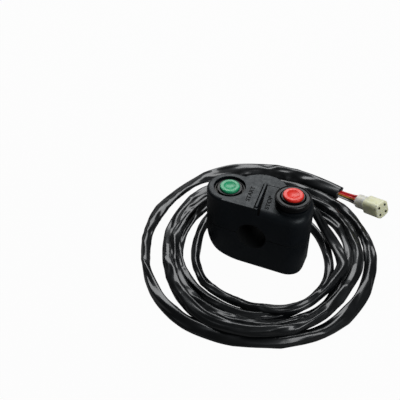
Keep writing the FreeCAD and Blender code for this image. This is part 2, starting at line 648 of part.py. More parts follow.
def cable_grommet():
    """The rubber grommet held between the shells, with a nose that carries the sleeve's end."""
    inner_y = HALF_DEPTH - WALL - GROMMET_FLANGE
    wall_y = HALF_DEPTH - WALL
    outer_y = HALF_DEPTH + GROMMET_FLANGE
    profile = [(GROMMET_BORE_RADIUS, inner_y), (GROMMET_FLANGE_RADIUS, inner_y),
               (GROMMET_FLANGE_RADIUS, wall_y), (GROMMET_HOLE_RADIUS, wall_y),
               (GROMMET_HOLE_RADIUS, HALF_DEPTH), (GROMMET_FLANGE_RADIUS, HALF_DEPTH),
               (GROMMET_FLANGE_RADIUS, outer_y), (SLEEVE_RADIUS, GROMMET_END_Y),
               (GROMMET_BORE_RADIUS, GROMMET_END_Y)]
    points = [Vector(GROMMET_X + radius, y, 0) for radius, y in profile]
    face = Part.Face(Part.makePolygon(points + [points[0]]))
    return face.revolve(Vector(GROMMET_X, 0, 0), Y_AXIS, 360)


def inner_lead(x, contact_side, way, end_side):
    """A lead from a contact's tail to the grommet. Its way is in shares: x of the bar's radius, y of the inner
    wall's place, and z of the height halfway between the bore's wall and the ceiling."""
    over_z = (BORE_OUTER + CEILING_Z) / 2.0
    start = Vector(x, contact_side * CONTACT_OFFSET, TAIL_END_Z)
    below = start - Z_AXIS * LEAD_DROP
    middle = [Vector(across * BAR_RADIUS, share * INNER_WALL_Y, up * over_z) for across, share, up in way]
    grommet_side = side_of(x)
    end = Vector(GROMMET_X + grommet_side * LEAD_SPREAD, INNER_WALL_Y, end_side * LEAD_SPREAD)
    return cord([start, below] + middle + [end], LEAD_RADIUS, "inner lead")


def start_leads():
    """Two leads from the start contacts, over the clamp and down to the grommet."""
    near = [(-2.03, 0.48, 0.14), (-1.42, 0.532, 0.273), (-0.955, 0.452, 0.672), (-0.405, 0.376, 1.0),
            (0.405, 0.356, 1.01), (0.937, 0.439, 0.695), (1.387, 0.562, 0.323), (1.658, 0.753, 0.096)]
    far = [(-2.306, 0.027, 0.14), (-1.946, 0.439, 0.067), (-1.459, 0.384, 0.251), (-0.973, 0.301, 0.683),
           (-0.405, 0.219, 1.0), (0.405, 0.198, 1.02), (0.955, 0.287, 0.695), (1.405, 0.411, 0.275),
           (1.622, 0.644, -0.036)]
    return Part.makeCompound([inner_lead(START_X, 1, near, 1), inner_lead(START_X, -1, far, -1)])


def stop_leads():
    """Two leads from the stop contacts to the grommet."""
    near = [(2.198, 0.452, 0.14), (1.982, 0.726, 0.084)]
    far = [(2.396, 0.014, 0.1), (2.324, 0.439, 0.0), (2.0, 0.74, -0.06)]
    return Part.makeCompound([inner_lead(STOP_X, 1, near, 1), inner_lead(STOP_X, -1, far, -1)])


# Harness

def harness_lead():
    """The first stretch of the sleeve, from the grommet down to the floor; its steps are in sleeve radii."""
    steps = [(0, 1.55, 0), (1.0, 2.64, -0.4), (2.73, 2.82, -1.24), (4.18, 2.36, -2.11), (5.45, 1.18, -3.02),
             (6.45, -0.45, -3.75)]
    start = Vector(GROMMET_X, GROMMET_END_Y, 0)
    points = [start] + [start + Vector(*step) * SLEEVE_RADIUS for step in steps]
    points.append(Vector(start.x + 7.0 * SLEEVE_RADIUS, start.y - 2.36 * SLEEVE_RADIUS, SLEEVE_Z))
    return cord(points, SLEEVE_RADIUS, "harness lead")


def tail_points():
    """The last stretch of the sleeve, along the floor, as shares of the coil's reach."""
    shares = [(-0.5, 0.8), (-0.261, 0.967), (0.022, 1.04), (0.272, 1.026), (0.475, 0.968)]
    return [Vector(x * COIL_REACH, y * COIL_REACH, SLEEVE_Z) for x, y in shares]


def harness_tail():
    return cord(tail_points(), SLEEVE_RADIUS, "harness tail")


def coil_hole():
    """The oval opening inside the turns, set off from the housing by a gap on each side."""
    left_x = START_X - HALF_DEPTH - COIL_LEFT_GAP
    right_x = STOP_END_X + COIL_RIGHT_GAP
    front_y = -HALF_DEPTH - COIL_FRONT_GAP
    back_y = LOBE_Y + LOBE_RADIUS + COIL_BACK_GAP
    circle = Part.Circle(Vector(0, 0, 0), Z_AXIS, 1).toShape()
    oval = stretched(circle, (right_x - left_x) / 2.0, (back_y - front_y) / 2.0, 1)
    hole = Part.Face(Part.Wire([oval])).extrude(Vector(0, 0, COIL_HEIGHT))
    hole.translate(Vector((left_x + right_x) / 2.0, (front_y + back_y) / 2.0, 0))
    return hole


def harness_coil():
    """The outer shape of the loose turns; its rim is in shares of the coil's reach."""
    shares = [(1.0, 0.02), (0.87, 0.565), (0.5, 0.837), (-0.065, 0.902), (-0.587, 0.783), (-0.957, 0.272),
              (-0.935, -0.413), (-0.489, -0.913), (0.054, -1.054), (0.63, -0.848), (0.946, -0.38)]
    spline = Part.BSplineCurve()
    spline.interpolate(Points=[Vector(x, y, 0) * COIL_REACH for x, y in shares], PeriodicFlag=True)
    outer = Part.Face(Part.Wire([spline.toShape()])).extrude(Vector(0, 0, COIL_HEIGHT))
    ring = outer.cut(coil_hole())
    ring = ring.makeFillet(COIL_EDGE_ROUND, top_edges(ring, COIL_HEIGHT - 0.01))
    ring.translate(Vector(0, 0, FLOOR_Z))
    return ring


# Connector, drawn along +X and then turned into its place

def connector_place():
    turn = FreeCAD.Rotation(Z_AXIS, CONNECTOR_HEADING) * FreeCAD.Rotation(Y_AXIS, -CONNECTOR_PITCH)
    turn = turn * FreeCAD.Rotation(X_AXIS, CONNECTOR_ROLL)
    return FreeCAD.Placement(Vector(CONNECTOR_X, CONNECTOR_Y, FLOOR_Z + CONNECTOR_LIFT), turn)


def placed(shape):
    shape.Placement = connector_place()
    return shape


def around(radius):
    """Four places in a square, as seen along the connector."""
    offset = radius * math.sqrt(0.5)
    return [(offset, offset), (-offset, offset), (-offset, -offset), (offset, -offset)]


def along(radius, low_x, high_x, y=0.0, z=0.0):
    return Part.makeCylinder(radius, high_x - low_x, Vector(low_x, y, z), X_AXIS)


def connector_housing():
    half = CONNECTOR_WIDTH / 2.0
    low_x = RETAINER_LENGTH
    high_x = RETAINER_LENGTH + CONNECTOR_LENGTH
    body = box((low_x, -half, -half), (high_x, half, half))
    long_edges = [edge for edge in body.Edges if edge.BoundBox.XLength > CONNECTOR_LENGTH / 2.0]
    body = body.makeFillet(CONNECTOR_CORNER, long_edges)
    front_edges = [edge for edge in body.Edges if edge.BoundBox.XMin > high_x - 0.01]
    body = body.makeFillet(CONNECTOR_END_ROUND, front_edges)
    latch = box((high_x - LATCH_LENGTH - 1, -LATCH_WIDTH / 2.0, -half - LATCH_HEIGHT),
                (high_x - 1, LATCH_WIDTH / 2.0, 1 - half))
    body = body.fuse(latch)
    holes = [along(PIN_HOLE_RADIUS, low_x - 1, high_x + 1, y, z) for y, z in around(PIN_CIRCLE_RADIUS)]
    holes.append(along(RETAINER_RADIUS - 1.0, low_x - 1, low_x + RETAINER_SPIGOT))
    return placed(body.cut(holes).removeSplitter())


def connector_retainer():
    collar = along(RETAINER_RADIUS, 0, RETAINER_LENGTH)
    spigot = along(RETAINER_RADIUS - 1.0, RETAINER_LENGTH, RETAINER_LENGTH + RETAINER_SPIGOT)
    holes = [along(WIRE_RADIUS + RUNNING_CLEARANCE, -1, 2 * RETAINER_LENGTH, y, z)
             for y, z in around(WIRE_CIRCLE_RADIUS)]
    return placed(collar.fuse(spigot).cut(holes))


def connector_terminals():
    low_x = RETAINER_LENGTH + RETAINER_SPIGOT
    high_x = RETAINER_LENGTH + CONNECTOR_LENGTH - PIN_SETBACK
    pins = [tube_along(low_x, high_x, y, z) for y, z in around(PIN_CIRCLE_RADIUS)]
    return placed(Part.makeCompound(pins))


def tube_along(low_x, high_x, y, z):
    """A round socket terminal, open towards the mating plug."""
    barrel = along(PIN_HOLE_RADIUS, low_x, high_x, y, z)
    return barrel.cut(along(PIN_RADIUS, high_x - TERMINAL_DEPTH, high_x + 1, y, z))


def wire(index, label):
    """One wire from the sleeve's end into the connector's retainer."""
    before, sleeve_end = tail_points()[-2:]
    ahead = (sleeve_end - before).normalize()
    aside = Z_AXIS.cross(ahead)
    y, z = around(WIRE_BUNDLE_RADIUS)[index]
    start = sleeve_end + aside * y + Z_AXIS * z
    mouth_y, mouth_z = around(WIRE_CIRCLE_RADIUS)[index]
    place = connector_place()
    mouth = place.multVec(Vector(-WIRE_RUN_IN, mouth_y, mouth_z))
    end = place.multVec(Vector(RETAINER_LENGTH, mouth_y, mouth_z))
    return cord([start, start + ahead * WIRE_RUN_OUT, mouth, end], WIRE_RADIUS, label)


def make_parts():
    parts = {
        "upper_housing": upper_housing(),
        "lower_housing": lower_housing(),
        "clamp_screws": clamp_screws(),
        "screw_inserts": screw_inserts(),
        "start_button": button(START_X, START_CAP_TOP_Z, START_SHOULDER_Z),
        "start_guide": start_guide(),
        "start_seal": start_seal(),
        "start_contact_bridge": contact_bridge(START_X),
        "start_fixed_contacts": fixed_contacts(START_X),
        "start_switch_base": switch_base(START_X),
        "tether_collar": tether_collar(),
        "stop_button": button(STOP_X, STOP_CAP_TOP_Z, STOP_SHOULDER_Z),
        "stop_guide": stop_guide(),
        "stop_contact_bridge": contact_bridge(STOP_X),
        "stop_fixed_contacts": fixed_contacts(STOP_X),
        "stop_switch_base": switch_base(STOP_X),
        "base_screws": Part.makeCompound(base_screws(START_X) + base_screws(STOP_X)),
        "start_spring": coil_spring(START_X, BASE_TOP_Z, START_SHOULDER_Z - STOP_GAP - BUTTON_FLANGE_HEIGHT,
                                    BUTTON_SPRING_RADIUS, SPRING_TURNS),
        "stop_spring": coil_spring(STOP_X, BASE_TOP_Z, STOP_SHOULDER_Z - STOP_GAP - BUTTON_FLANGE_HEIGHT,
                                   BUTTON_SPRING_RADIUS, SPRING_TURNS),
        "collar_spring": coil_spring(STOP_X, COLLAR_FOOT_Z + COLLAR_FOOT_HEIGHT, CEILING_Z,
                                     COLLAR_SPRING_RADIUS, COLLAR_SPRING_TURNS),
        "cable_grommet": cable_grommet(),
        "start_leads": start_leads(),
        "stop_leads": stop_leads(),
        "harness_lead": harness_lead(),
        "harness_coil": harness_coil(),
        "harness_tail": harness_tail(),
        "wire_red": wire(0, "wire red"),
        "wire_red_yellow": wire(1, "wire red and yellow"),
        "wire_black": wire(3, "wire black"),
        "wire_black_white": wire(2, "wire black and white"),
        "connector_housing": connector_housing(),
        "connector_retainer": connector_retainer(),
        "connector_terminals": connector_terminals(),
    }
    return parts


os.makedirs("parts", exist_ok=True)
for name, shape in make_parts().items():
    shape.exportStep("parts/" + name + ".step")
    print(name, "solids", len(shape.Solids), "valid", shape.isValid(), "volume", round(shape.Volume, 1))
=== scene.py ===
import bmesh
import bpy
import math
from mathutils import Matrix, Vector, noise


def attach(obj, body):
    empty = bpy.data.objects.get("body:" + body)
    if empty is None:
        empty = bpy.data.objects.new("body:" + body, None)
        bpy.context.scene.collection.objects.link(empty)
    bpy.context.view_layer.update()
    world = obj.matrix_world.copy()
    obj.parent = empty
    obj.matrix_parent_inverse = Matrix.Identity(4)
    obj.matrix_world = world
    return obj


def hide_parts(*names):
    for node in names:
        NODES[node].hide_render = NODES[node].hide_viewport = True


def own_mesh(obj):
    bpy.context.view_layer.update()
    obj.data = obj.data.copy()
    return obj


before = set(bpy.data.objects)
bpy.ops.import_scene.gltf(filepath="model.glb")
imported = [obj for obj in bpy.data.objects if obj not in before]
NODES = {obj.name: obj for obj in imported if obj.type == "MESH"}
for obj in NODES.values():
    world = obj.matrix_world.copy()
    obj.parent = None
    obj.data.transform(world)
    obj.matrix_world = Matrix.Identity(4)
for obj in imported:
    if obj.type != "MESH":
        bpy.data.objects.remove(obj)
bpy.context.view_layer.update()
MM = 0.001
UPWARDS = Vector((0, 0, 1))

# The handlebar switch stands upright on the floor, inside the loose turns of its own harness.
# Lengths in this file are in millimetres and angles in degrees, and are changed where they are used.
FLOOR = -29.0
FLOOR_REACH = 4000.0

# Housing: the bar's bore, the parting line's bevel, the collar's middle and its ring groove
# The bore's radius and blur, the bevel's limits and the collar's groove limits bound where painted shade is
# laid.
BAR_RADIUS = 11.1
BORE_BLUR = 0.4
PARTING_BEVEL = (0.3, 0.45)
STOP_X = 23.9
COLLAR_GROOVE = (11.72, 12.38)

# Divider: its turn, its right face, the painted shade in the groove on its left and the dark strip of painted
# shade on its right, with their limits across it and along it
DIVIDER_ANGLE = 4.5
DIVIDER_FACE_X = 1.7
LEFT_GROOVE = (-2.93, -2.17)
LEFT_GROOVE_ENDS = (-20.0, 12.5)
GROOVE_LEVELS = (25.8, 26.2)
DIVIDER_SHADE_ENDS = (-16.6, 12.0)
DIVIDER_SHADE_WIDTHS = (0.55, 1.9)
DIVIDER_SHADE_START = 0.05
DIVIDER_SHADE_RISE = 0.06
DIVIDER_SHADE_STEPS = 48

# Words: x, y and z of the middle, the panel's slope, and the letters' stretch
START_WORD = (-7.2, -2.2, 27.4, 0.0, 1.36)
STOP_WORD = (7.8, -4.4, 25.57, 6.2, 1.36)
WORD_SIZE = 4.3
WORD_RELIEF = 0.2

# Harness: the sleeve is a lay-flat tube, and its width is the cord's diameter
SLEEVE_SIDES = 28
SLEEVE_STEP = 1.1
ROUTE_RESOLUTION = 16
FLOOR_GAP = 0.15
LEAD = [(20.9, 25, 0), (20.9, 31.5, 0.2), (24.2, 36.6, -1.2), (30.8, 37.2, -4.6), (37.6, 34.4, -9.2),
        (44, 29.6, -14), (51.2, 23.4, -17.6), (58.9, 15.4, -19.2), (64.5, 6.5, -19.5)]
TAIL = [(23.2, 92.6, -24.0), (43.9, 85.9, -24.2)]

# The loose turns run clockwise from the right. Each row is one turn, with a radius, a height and half a width
# at every 24 degrees about the turns' middle.
MIDDLE = (4.0, -2.0)
STATIONS = 15
TURN_RADII = [
    [64.0, 63.6, 68.3, 61.0, 57.4, 57.0, 52.9, 51.3, 53.4, 59.7, 57.3, 53.2, 50.6, 49.8, 51.1],
    [55.6, 60.6, 64.4, 68.4, 67.4, 66.2, 65.8, 65.3, 65.5, 69.1, 66.9, 63.0, 63.4, 70.3, 69.5],
    [67.0, 70.2, 74.6, 75.2, 75.0, 73.0, 69.8, 68.5, 70.4, 74.2, 72.2, 71.0, 72.0, 74.9, 75.3],
    [74.2, 74.8, 82.0, 84.8, 86.0, 80.0, 74.2, 74.8, 79.2, 83.3, 82.4, 83.2, 84.6, 86.6, 85.8],
    [84.2, 86.8, 89.2, 89.0, 92.1, 93.2, 91.5, 92.6, 95.8, 99.8, 100.6, 99.2],
]
TURN_HEIGHTS = [
    [-19.5, -19.4, -20.2, -24.8, -25.6, -25.6, -25.6, -25.6, -25.6, -25.6, -25.6, -25.6, -25.6, -25.6, -25.6],
    [-25.6, -25.6, -25.6, -25.6, -25.4, -25.0, -25.0, -25.0, -24.7, -24.0, -24.0, -24.0, -24.1, -24.9, -25.6],
    [-25.6, -25.6, -25.6, -25.6, -25.6, -25.1, -22.9, -20.8, -21.0, -21.0, -21.0, -21.0, -21.4, -22.2, -22.9],
    [-22.5, -20.3, -20.0, -20.0, -19.9, -19.8, -21.9, -24.9, -25.3, -24.5, -24.5, -24.5, -24.9, -25.6, -25.6],
    [-25.6, -25.6, -25.6, -25.6, -25.6, -25.6, -25.6, -25.6, -25.2, -24.4, -24.0, -24.0],
]
TURN_WIDTHS = [
    [4.2, 3.7, 4.0, 4.1, 4.0, 3.7, 3.4, 4.4, 4.6, 4.6, 4.6, 4.6, 4.4, 4.2, 3.8],
    [3.8, 3.6, 4.0, 4.4, 4.4, 4.4, 4.2, 4.4, 4.6, 4.6, 4.6, 4.6, 4.6, 4.4, 4.4],
    [4.2, 3.8, 4.4, 4.8, 4.8, 4.6, 4.2, 4.3, 4.6, 4.8, 4.8, 4.6, 4.6, 4.5, 4.5],
    [4.4, 4.4, 4.8, 5.0, 5.4, 6.0, 4.6, 4.4, 4.8, 5.4, 5.4, 5.2, 5.0, 4.8, 4.8],
    [4.7, 5.6, 5.0, 5.4, 5.8, 5.0, 3.5, 4.2, 6.2, 6.5, 6.6, 6.6],
]
LEAD_WIDTH = 4.3
TAIL_WIDTH = 6.5

# The sleeve's outline: what it loses in width it gains in height, it is narrower where it runs along x, and
# it stands open at its cut end
HALF_HEIGHT = 3.1
HEIGHT_WIDTH = 4.4
HEIGHT_LOSS = 0.42
OPEN_RISE = 1.2
BLUNTNESS = 0.35
FLAT_WIDTH = 4.6
FLATTENING = 0.12
NARROWING = 0.13

# Folds: how often they repeat around the sleeve, their length along it, and a seed. The large folds wind
# about the sleeve, and the small ones come and go along it.
LARGE_FOLDS = (0.6, 30.0, 7.0)
PLEATS = (1.2, 75.0, 31.0)
SMALL_FOLDS = (0.9, 13.0, 53.0)
LARGE_DEPTH = 1.6
PLEAT_DEPTH = 0.8
CRUMPLE_LIMIT = 0.7
CRUMPLE_GROWTH = 2.2
CRUMPLE_SPOT = (5.1, 2.7)
CRUMPLE_LENGTH = 70.0
FOLD_SPIRAL = 55.0
FOLD_ACROSS = 0.5
FOLD_UP = 1.1
CREASE_DEPTH = 2.2
CREASE_MIDDLE = 0.5
TWIST = 0.5
TWIST_SPOT = (3.3, 8.1)
TWIST_LENGTH = 40.0
LEVELLING = 0.2

# How far from the sleeve's start or end its folds, its opening, its full width and its lean take to change
CALM_START = 25.0
CALM_END = 60.0
CALM_LEAST = 0.25
OPEN_END = 45.0
TAIL_LENGTH = 180.0
LEAN_START = 90.0
BLEND = 60.0
FACING_LEAN = 27.0
LEFT_LEAN = 13.0

# Connector: the middle of its rear face, its turn about x, y and z, its pins' place across and up, and the
# radii over which the painted shade in its pin holes fades out
CONNECTOR_REAR = (61.7, 81.9, -23.3)
CONNECTOR_TURN = (7.0, -18.0, -32.0)
PIN_PLACE = 3.182
PIN_HOLE = (1.02, 1.1)

# Wires: the side and the level of each on the connector, its place across and above at the sleeve's end, the
# bow of its middle, the angle of its stripe, and the colours of insulation and stripe
WIRE_RADIUS = 1.25
WIRE_SIDES = 16
WIRE_STEP = 0.6
WIRE_RESOLUTION = 24
WIRE_SPREAD = 2.26
WIRE_REACH = 8.0
STRIPE_EDGE = 0.87
WIRES = {
    "wire_red": (1, 1, (1.3, 1.25), (0, 0.2, 0.3), 90,
                 (0.55, 0.015, 0.02), (0.55, 0.015, 0.02)),
    "wire_red_yellow": (-1, 1, (-1.4, 1.25), (0, -0.1, 0.2), 165,
                        (0.55, 0.02, 0.02), (0.85, 0.5, 0.08)),
    "wire_black": (1, -1, (1.3, -1.3), (0, 0.2, -0.1), 90,
                   (0.012, 0.012, 0.013), (0.012, 0.012, 0.013)),
    "wire_black_white": (-1, -1, (-1.4, -1.3), (0, -0.4, -0.2), 160,
                         (0.014, 0.014, 0.015), (0.75, 0.75, 0.72)),
}

# Finishes: the parts of a noise that its patches of colour and of gloss are taken from, and how far the gloss
# spreads. The depths of the materials' bumps are in metres.
COLOUR_PATCHES = (0.35, 0.65)
GLOSS_PATCHES = (0.3, 0.7)
GLOSS_SPREAD = 0.06
MATT = 0.9

# Light, in metres and watts: place, size and power
LAMPS = {
    "key": ((-0.3, 0.6, 0.65), (0.7, 0.5), 6.2),
    "fill": ((0.7, -0.3, 0.7), (0.6, 0.4), 5.2),
}
WORLD_LIGHT = 0.06
FLOOR_COLOUR = (0.27, 0.27, 0.27, 1.0)
FLOOR_WHITE = 0.97

# The camera of the photograph, fitted to the switch's own circles and edges
CAMERA_PLACE = (98.6007, -328.946, 315.8634)
CAMERA_RIGHT = (0.916035, 0.400993, -0.009182)
CAMERA_UP = (-0.255252, 0.600454, 0.757827)
CAMERA_AHEAD = (-0.309396, 0.691852, -0.652391)
CAMERA_LENS = 55.255


# Materials

def new_material(name):
    material = bpy.data.materials.new(name)
    material.use_nodes = True
    return material


def opened(material):
    """A material's tree, its shader, and a point in the frame's own coordinates for its patterns."""
    tree = material.node_tree
    return tree, tree.nodes["Principled BSDF"], tree.nodes.new("ShaderNodeTexCoord").outputs["Object"]


def noise_value(tree, place, scale, detail=2.0):
    node = tree.nodes.new("ShaderNodeTexNoise")
    node.inputs["Scale"].default_value = scale
    node.inputs["Detail"].default_value = detail
    tree.links.new(place, node.inputs["Vector"])
    return node.outputs["Fac"]


def mapped(tree, value, low, high, to_low=0.0, to_high=1.0):
    node = tree.nodes.new("ShaderNodeMapRange")
    node.inputs["From Min"].default_value = low
    node.inputs["From Max"].default_value = high
    node.inputs["To Min"].default_value = to_low
    node.inputs["To Max"].default_value = to_high
    tree.links.new(value, node.inputs["Value"])
    return node.outputs["Result"]


def combined(tree, operation, first, second=None):
    node = tree.nodes.new("ShaderNodeMath")
    node.operation = operation
    tree.links.new(first, node.inputs[0])
    if second is not None:
        tree.links.new(second, node.inputs[1])
    return node.outputs[0]


def changed(tree, operation, point, value=None):
    """A vector operation on a point, with its second value fixed."""
    node = tree.nodes.new("ShaderNodeVectorMath")
    node.operation = operation
    tree.links.new(point, node.inputs[0])
    if value is not None:
        node.inputs[1].default_value = value
    return node.outputs["Value" if operation == "LENGTH" else "Vector"]


def distance(tree, place, centre, axes):
    """How far a point is from the centre, in metres, counted along the given axes only."""
    away = changed(tree, "SUBTRACT", place, [value * MM for value in centre])
    return changed(tree, "LENGTH", changed(tree, "MULTIPLY", away, axes))


def local_point(tree, place, origin, turn):
    """The point in the coordinates of something that stands at an origin, turned about x, y and z."""
    node = tree.nodes.new("ShaderNodeMapping")
    node.vector_type = "TEXTURE"
    node.inputs["Location"].default_value = [value * MM for value in origin]
    node.inputs["Rotation"].default_value = [math.radians(value) for value in turn]
    tree.links.new(place, node.inputs["Vector"])
    return node.outputs["Vector"]


def coordinates(tree, point):
    node = tree.nodes.new("ShaderNodeSeparateXYZ")
    tree.links.new(point, node.inputs["Vector"])
    return node.outputs


def within(tree, value, low, high, blur):
    """1 where the value lies between two limits, and 0 outside them."""
    above = mapped(tree, value, (low - blur) * MM, low * MM)
    below = mapped(tree, value, high * MM, (high + blur) * MM, 1.0, 0.0)
    return combined(tree, "MINIMUM", above, below)


def colour_mix(tree, factor, first, second):
    node = tree.nodes.new("ShaderNodeMix")
    node.data_type = "RGBA"
    node.inputs["A"].default_value = (*first, 1.0)
    node.inputs["B"].default_value = (*second, 1.0)
    tree.links.new(factor, node.inputs["Factor"])
    return node.outputs["Result"]


def mixed_in(tree, shader, socket, share, value):
    """Leads a shader's linked socket over to one value where the share is 1."""
    plain = shader.inputs[socket].links[0].from_socket
    node = tree.nodes.new("ShaderNodeMix")
    node.data_type = "RGBA" if socket == "Base Color" else "FLOAT"
    factor, first, second = [item for item in node.inputs if item.enabled]
    result = next(item for item in node.outputs if item.enabled)
    tree.links.new(share, factor)
    tree.links.new(plain, first)
    second.default_value = value
    tree.links.new(result, shader.inputs[socket])


def bump(tree, shader, height, strength, depth):
    node = tree.nodes.new("ShaderNodeBump")
    node.inputs["Strength"].default_value = strength
    node.inputs["Distance"].default_value = depth
    tree.links.new(height, node.inputs["Height"])
    tree.links.new(node.outputs["Normal"], shader.inputs["Normal"])


def moulded(name, dark, light, roughness, grain_scale, grain_depth, shine=0.5, tint=(1, 1, 1)):
    """Moulded plastic: slightly uneven colour and gloss over a fine grain."""
    material = new_material(name)
    tree, shader, place = opened(material)
    patches = mapped(tree, noise_value(tree, place, scale=90.0, detail=3.0), *COLOUR_PATCHES)
    tree.links.new(colour_mix(tree, patches, dark, light), shader.inputs["Base Color"])
    gloss = mapped(tree, noise_value(tree, place, scale=260.0), *GLOSS_PATCHES,
                   roughness - GLOSS_SPREAD, roughness + GLOSS_SPREAD)
    tree.links.new(gloss, shader.inputs["Roughness"])
    shader.inputs["Specular Tint"].default_value = (*tint, 1.0)
    shader.inputs["Specular IOR Level"].default_value = shine
    bump(tree, shader, noise_value(tree, place, grain_scale), 1.0, grain_depth)
    return material


def metal(name, dark, light, roughness):
    material = new_material(name)
    tree, shader, place = opened(material)
    patches = noise_value(tree, place, scale=300.0, detail=3.0)
    tree.links.new(colour_mix(tree, patches, dark, light), shader.inputs["Base Color"])
    gloss = mapped(tree, patches, *GLOSS_PATCHES, roughness - 0.06, roughness + 0.08)
    tree.links.new(gloss, shader.inputs["Roughness"])
    shader.inputs["Metallic"].default_value = 1.0
    return material


def sleeve_material():
    """Glossy soft vinyl, with long soft folds that meet in sharp creases."""
    material = new_material("sleeve")
    tree, shader, place = opened(material)
    patches = mapped(tree, noise_value(tree, place, scale=60.0, detail=3.0), *COLOUR_PATCHES)
    tree.links.new(colour_mix(tree, patches, (0.002, 0.0025, 0.003), (0.004, 0.0048, 0.0056)),
                   shader.inputs["Base Color"])
    gloss = mapped(tree, noise_value(tree, place, scale=120.0), *GLOSS_PATCHES, 0.36, 0.44)
    tree.links.new(gloss, shader.inputs["Roughness"])
    shader.inputs["Specular IOR Level"].default_value = 0.3
    shader.inputs["Specular Tint"].default_value = (0.93, 0.97, 1.0, 1.0)
    shader.inputs["Coat Tint"].default_value = (0.96, 0.98, 1.0, 1.0)
    shader.inputs["Coat Weight"].default_value = 0.55
    shader.inputs["Coat Roughness"].default_value = 0.14
    folds = tree.nodes.new("ShaderNodeTexNoise")
    folds.noise_type = "RIDGED_MULTIFRACTAL"
    folds.inputs["Scale"].default_value = 28.0
    folds.inputs["Detail"].default_value = 0.0
    folds.inputs["Roughness"].default_value = 0.3
    folds.inputs["Distortion"].default_value = 0.3
    tree.links.new(place, folds.inputs["Vector"])
    bump(tree, shader, folds.outputs["Fac"], 0.3, 0.0002)
    return material


def striped(name, base, stripe):
    """Wire insulation with a thin stripe along it, drawn with the mesh's own attribute."""
    material = new_material(name)
    tree, shader, place = opened(material)
    mark = tree.nodes.new("ShaderNodeAttribute")
    mark.attribute_name = "stripe"
    edge = mapped(tree, mark.outputs["Fac"], 0.45, 0.55)
    tree.links.new(colour_mix(tree, edge, base, stripe), shader.inputs["Base Color"])
    gloss = mapped(tree, noise_value(tree, place, scale=500.0), *GLOSS_PATCHES, 0.28, 0.42)
    tree.links.new(gloss, shader.inputs["Roughness"])
    bump(tree, shader, noise_value(tree, place, scale=900.0), 0.4, 0.0001)
    return material


def nylon(name, dark, light):
    """Natural nylon: pale, a little light passing into it."""
    material = new_material(name)
    tree, shader, place = opened(material)
    patches = noise_value(tree, place, scale=120.0)
    colour = colour_mix(tree, mapped(tree, patches, *GLOSS_PATCHES), dark, light)
    tree.links.new(colour, shader.inputs["Base Color"])
    tree.links.new(mapped(tree, patches, *GLOSS_PATCHES, 0.3, 0.42), shader.inputs["Roughness"])
    shader.inputs["Subsurface Weight"].default_value = 0.6
    shader.inputs["Subsurface Scale"].default_value = 0.008
    shader.inputs["Subsurface Radius"].default_value = (1.0, 0.95, 0.75)
    bump(tree, shader, noise_value(tree, place, scale=700.0), 0.4, 0.0001)
    return material


def paint_shade_in_pin_holes(material):
    """The four pin holes get painted shade: the nylon inside them is darkened near black."""
    tree, shader, place = opened(material)
    corner = changed(tree, "ABSOLUTE", local_point(tree, place, CONNECTOR_REAR, CONNECTOR_TURN))
    reach = distance(tree, corner, (0.0, PIN_PLACE, PIN_PLACE), (0.0, 1.0, 1.0))
    inside = mapped(tree, reach, PIN_HOLE[0] * MM, PIN_HOLE[1] * MM, 1.0, 0.0)
    # Painted shade: the nylon inside each pin hole is darkened near black.
    mixed_in(tree, shader, "Base Color", inside, (0.012, 0.012, 0.01, 1.0))


def paint_shade_in_collar_grooves(material):
    """The ring groove in the collar's top and the one around its side are matt and get painted shade, near
    black.
    """
    tree, shader, place = opened(material)
    reach = distance(tree, place, (STOP_X, 0.0, 0.0), (1.0, 1.0, 0.0))
    groove = within(tree, reach, *COLLAR_GROOVE, blur=0.08)
    # Painted shade: the collar's grooves are darkened near black; the matt roughness is their own finish.
    mixed_in(tree, shader, "Base Color", groove, (0.0012, 0.0012, 0.0013, 1.0))
    mixed_in(tree, shader, "Roughness", groove, MATT)


def matt_with_painted_shade_in_hollows(material):
    """The bore, the parting line's bevel and the divider's left groove are matt, and get painted shade that
    darkens them near black.
    """
    tree, shader, place = opened(material)
    height = coordinates(tree, place)["Z"]
    reach = distance(tree, place, (0.0, 0.0, 0.0), (1.0, 0.0, 1.0))
    bore = mapped(tree, reach, BAR_RADIUS * MM, (BAR_RADIUS + BORE_BLUR) * MM, 1.0, 0.0)
    bevel_top, bevel_end = PARTING_BEVEL
    parting = mapped(tree, combined(tree, "ABSOLUTE", height), bevel_top * MM, bevel_end * MM, 1.0, 0.0)
    divider = local_point(tree, place, (DIVIDER_FACE_X, 0.0, 0.0), (0.0, 0.0, DIVIDER_ANGLE))
    beside = coordinates(tree, divider)
    groove = combined(tree, "MINIMUM", within(tree, beside["X"], *LEFT_GROOVE, blur=0.06),
                      within(tree, beside["Y"], *LEFT_GROOVE_ENDS, blur=0.1))
    groove = combined(tree, "MINIMUM", groove, mapped(tree, height, *[level * MM for level in GROOVE_LEVELS]))
    share = combined(tree, "MAXIMUM", combined(tree, "MAXIMUM", bore, parting), groove)
    # Painted shade: the bore, the bevel and the groove are darkened near black.
    mixed_in(tree, shader, "Base Color", share, (0.001, 0.0011, 0.0012, 1.0))
    mixed_in(tree, shader, "Roughness", share, MATT)


# Meshes

def dress(material, *names):
    for name in names:
        NODES[name].data.materials.clear()
        NODES[name].data.materials.append(material)


def link(mesh, name, material):
    piece = bpy.data.objects.new(name, mesh)
    bpy.context.scene.collection.objects.link(piece)
    mesh.materials.clear()
    mesh.materials.append(material)
    return piece


def mesh_from(name, curve):
    """A curve's mesh, with nothing left of the curve's own object."""
    carrier = bpy.data.objects.new(name, curve)
    bpy.context.scene.collection.objects.link(carrier)
    bpy.context.view_layer.update()
    mesh = bpy.data.meshes.new_from_object(carrier)
    bpy.data.objects.remove(carrier)
    return mesh


